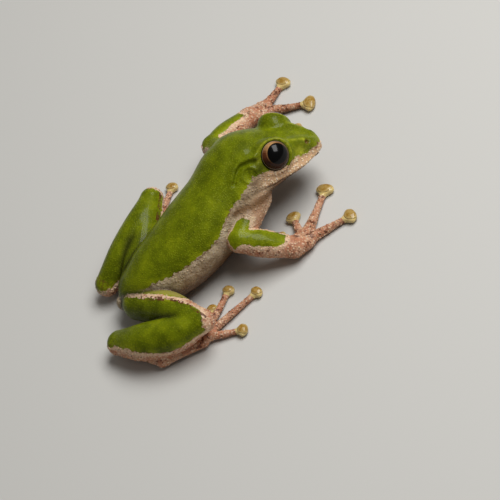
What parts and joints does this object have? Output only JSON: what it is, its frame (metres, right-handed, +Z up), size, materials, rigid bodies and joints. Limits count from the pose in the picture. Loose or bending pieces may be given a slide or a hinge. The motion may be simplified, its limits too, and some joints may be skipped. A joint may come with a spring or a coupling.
{
  "type": "small green tree frog model",
  "caption": "Life-size still model of a small green tree frog, sitting low with its chest raised, head turned right and toes spread.",
  "frame": {"origin": "on the floor under the belly, at the middle of the small flat that the belly rests on", "axes": "+X forwards along the trunk, +Y to the frog's left, +Z up from the floor"},
  "size_m": [0.0391, 0.0297, 0.0107],
  "materials": {
    "green_skin": "moist, finely grained green skin, pale along the flanks and belly",
    "pink_skin": "moist, warty pinkish tan skin with dark brown specks",
    "eye": "wet, glossy dark eye with a bronze iris"
  },
  "bodies": {
    "root": {"torso": "green_skin", "head": "green_skin", "eye_right": "eye", "eye_left": "eye", "upper_arm_right": "green_skin", "forearm_right": "green_skin", "hand_right": "pink_skin", "finger_1_right": "pink_skin", "finger_2_right": "pink_skin", "finger_3_right": "pink_skin", "finger_4_right": "pink_skin", "upper_arm_left": "green_skin", "forearm_left": "green_skin", "hand_left": "pink_skin", "finger_1_left": "pink_skin", "finger_2_left": "pink_skin", "finger_3_left": "pink_skin", "finger_4_left": "pink_skin", "thigh_right": "green_skin", "shank_right": "green_skin", "tarsus_right": "pink_skin", "foot_right": "pink_skin", "toe_1_right": "pink_skin", "toe_2_right": "pink_skin", "toe_3_right": "pink_skin", "toe_4_right": "pink_skin", "toe_5_right": "pink_skin", "thigh_left": "green_skin", "shank_left": "green_skin", "tarsus_left": "pink_skin", "foot_left": "pink_skin", "toe_1_left": "pink_skin", "toe_2_left": "pink_skin", "toe_3_left": "pink_skin", "toe_4_left": "pink_skin", "toe_5_left": "pink_skin"}
  },
  "joints": []
}
